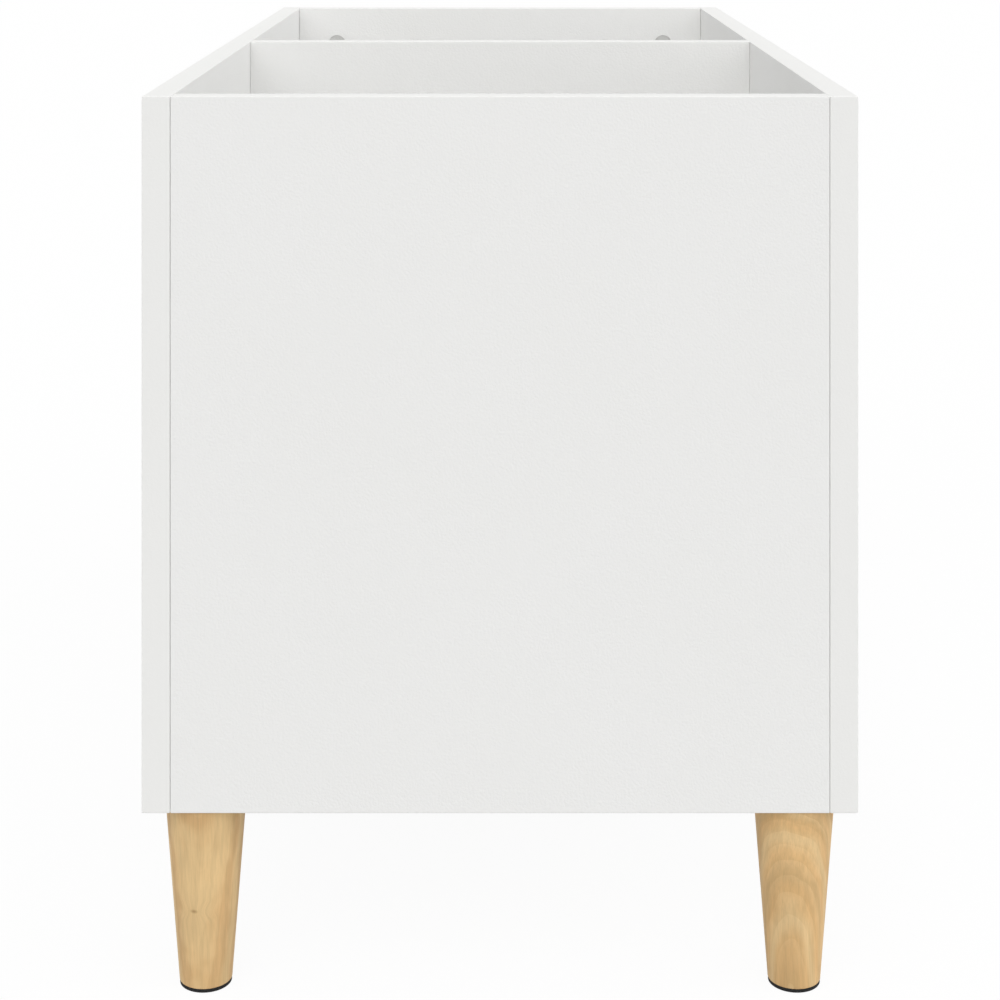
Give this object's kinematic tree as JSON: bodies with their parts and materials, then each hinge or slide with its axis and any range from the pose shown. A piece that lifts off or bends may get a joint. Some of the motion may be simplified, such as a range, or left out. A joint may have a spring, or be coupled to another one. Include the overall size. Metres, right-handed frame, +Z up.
{
  "type": "record cabinet",
  "caption": "Open-topped record cabinet: square bins in a row, split by a divider, in white faced board on tapered round wooden legs.",
  "frame": {"origin": "on the floor, under the middle of the cabinet", "axes": "+X along the row of bins to the right end, +Y from the front panel to the back panel, +Z up; the picture looks along -X at the right end"},
  "size_m": [0.745, 0.38, 0.48],
  "materials": {
    "white_board": "white melamine facing on particle board, satin",
    "edge_band": "satin white",
    "leg_wood": "clear matt varnish",
    "foot_pad": "matt black",
    "zinc_cam": "die-cast zinc, dull",
    "zinc_plated_steel": "zinc plated",
    "beech_dowel": "bare"
  },
  "bodies": {
    "cabinet": {"back_left_foot_pad": "foot_pad", "back_left_hanger_bolt": "zinc_plated_steel", "back_left_insert_nut": "zinc_plated_steel", "back_left_leg": "leg_wood", "back_panel": "white_board", "back_panel_cam_bolts": "zinc_plated_steel", "back_panel_edging": "edge_band", "back_right_foot_pad": "foot_pad", "back_right_hanger_bolt": "zinc_plated_steel", "back_right_insert_nut": "zinc_plated_steel", "back_right_leg": "leg_wood", "bottom_dowels": "beech_dowel", "bottom_panel": "white_board", "divider_dowels": "beech_dowel", "divider_edging": "edge_band", "divider_panel": "white_board", "divider_screws": "zinc_plated_steel", "front_left_foot_pad": "foot_pad", "front_left_hanger_bolt": "zinc_plated_steel", "front_left_insert_nut": "zinc_plated_steel", "front_left_leg": "leg_wood", "front_panel": "white_board", "front_panel_cam_bolts": "zinc_plated_steel", "front_panel_edging": "edge_band", "front_right_foot_pad": "foot_pad", "front_right_hanger_bolt": "zinc_plated_steel", "front_right_insert_nut": "zinc_plated_steel", "front_right_leg": "leg_wood", "left_end_dowels": "beech_dowel", "left_end_edging": "edge_band", "left_end_panel": "white_board", "right_end_dowels": "beech_dowel", "right_end_edging": "edge_band", "right_end_panel": "white_board"},
    "bottom_back_left_cam": {"bottom_back_left_cam": "zinc_cam"},
    "bottom_back_right_cam": {"bottom_back_right_cam": "zinc_cam"},
    "bottom_front_left_cam": {"bottom_front_left_cam": "zinc_cam"},
    "bottom_front_right_cam": {"bottom_front_right_cam": "zinc_cam"},
    "divider_back_low_cam": {"divider_back_low_cam": "zinc_cam"},
    "divider_back_top_cam": {"divider_back_top_cam": "zinc_cam"},
    "divider_front_low_cam": {"divider_front_low_cam": "zinc_cam"},
    "divider_front_top_cam": {"divider_front_top_cam": "zinc_cam"},
    "left_end_back_low_cam": {"left_end_back_low_cam": "zinc_cam"},
    "left_end_back_top_cam": {"left_end_back_top_cam": "zinc_cam"},
    "left_end_front_low_cam": {"left_end_front_low_cam": "zinc_cam"},
    "left_end_front_top_cam": {"left_end_front_top_cam": "zinc_cam"},
    "right_end_back_low_cam": {"right_end_back_low_cam": "zinc_cam"},
    "right_end_back_top_cam": {"right_end_back_top_cam": "zinc_cam"},
    "right_end_front_low_cam": {"right_end_front_low_cam": "zinc_cam"},
    "right_end_front_top_cam": {"right_end_front_top_cam": "zinc_cam"}
  },
  "joints": [
    {"name": "bottom_back_left_unlock", "type": "hinge", "parent": "cabinet", "child": "bottom_back_left_cam", "pos_m": [-0.1825, 0.142, 0.1], "axis": [0, 0, -1], "range_deg": [0, 180]},
    {"name": "bottom_back_right_unlock", "type": "hinge", "parent": "cabinet", "child": "bottom_back_right_cam", "pos_m": [0.1825, 0.142, 0.1], "axis": [0, 0, -1], "range_deg": [0, 180]},
    {"name": "bottom_front_left_unlock", "type": "hinge", "parent": "cabinet", "child": "bottom_front_left_cam", "pos_m": [-0.1825, -0.142, 0.1], "axis": [0, 0, -1], "range_deg": [0, 180]},
    {"name": "bottom_front_right_unlock", "type": "hinge", "parent": "cabinet", "child": "bottom_front_right_cam", "pos_m": [0.1825, -0.142, 0.1], "axis": [0, 0, -1], "range_deg": [0, 180]},
    {"name": "divider_back_low_unlock", "type": "hinge", "parent": "cabinet", "child": "divider_back_low_cam", "pos_m": [-0.0075, 0.142, 0.146], "axis": [-1, 0, 0], "range_deg": [0, 180]},
    {"name": "divider_back_top_unlock", "type": "hinge", "parent": "cabinet", "child": "divider_back_top_cam", "pos_m": [-0.0075, 0.142, 0.449], "axis": [-1, 0, 0], "range_deg": [0, 180]},
    {"name": "divider_front_low_unlock", "type": "hinge", "parent": "cabinet", "child": "divider_front_low_cam", "pos_m": [-0.0075, -0.142, 0.146], "axis": [-1, 0, 0], "range_deg": [0, 180]},
    {"name": "divider_front_top_unlock", "type": "hinge", "parent": "cabinet", "child": "divider_front_top_cam", "pos_m": [-0.0075, -0.142, 0.449], "axis": [-1, 0, 0], "range_deg": [0, 180]},
    {"name": "left_end_back_low_unlock", "type": "hinge", "parent": "cabinet", "child": "left_end_back_low_cam", "pos_m": [-0.3575, 0.142, 0.146], "axis": [1, 0, 0], "range_deg": [0, 180]},
    {"name": "left_end_back_top_unlock", "type": "hinge", "parent": "cabinet", "child": "left_end_back_top_cam", "pos_m": [-0.3575, 0.142, 0.449], "axis": [1, 0, 0], "range_deg": [0, 180]},
    {"name": "left_end_front_low_unlock", "type": "hinge", "parent": "cabinet", "child": "left_end_front_low_cam", "pos_m": [-0.3575, -0.142, 0.146], "axis": [1, 0, 0], "range_deg": [0, 180]},
    {"name": "left_end_front_top_unlock", "type": "hinge", "parent": "cabinet", "child": "left_end_front_top_cam", "pos_m": [-0.3575, -0.142, 0.449], "axis": [1, 0, 0], "range_deg": [0, 180]},
    {"name": "right_end_back_low_unlock", "type": "hinge", "parent": "cabinet", "child": "right_end_back_low_cam", "pos_m": [0.3575, 0.142, 0.146], "axis": [-1, 0, 0], "range_deg": [0, 180]},
    {"name": "right_end_back_top_unlock", "type": "hinge", "parent": "cabinet", "child": "right_end_back_top_cam", "pos_m": [0.3575, 0.142, 0.449], "axis": [-1, 0, 0], "range_deg": [0, 180]},
    {"name": "right_end_front_low_unlock", "type": "hinge", "parent": "cabinet", "child": "right_end_front_low_cam", "pos_m": [0.3575, -0.142, 0.146], "axis": [-1, 0, 0], "range_deg": [0, 180]},
    {"name": "right_end_front_top_unlock", "type": "hinge", "parent": "cabinet", "child": "right_end_front_top_cam", "pos_m": [0.3575, -0.142, 0.449], "axis": [-1, 0, 0], "range_deg": [0, 180]}
  ]
}
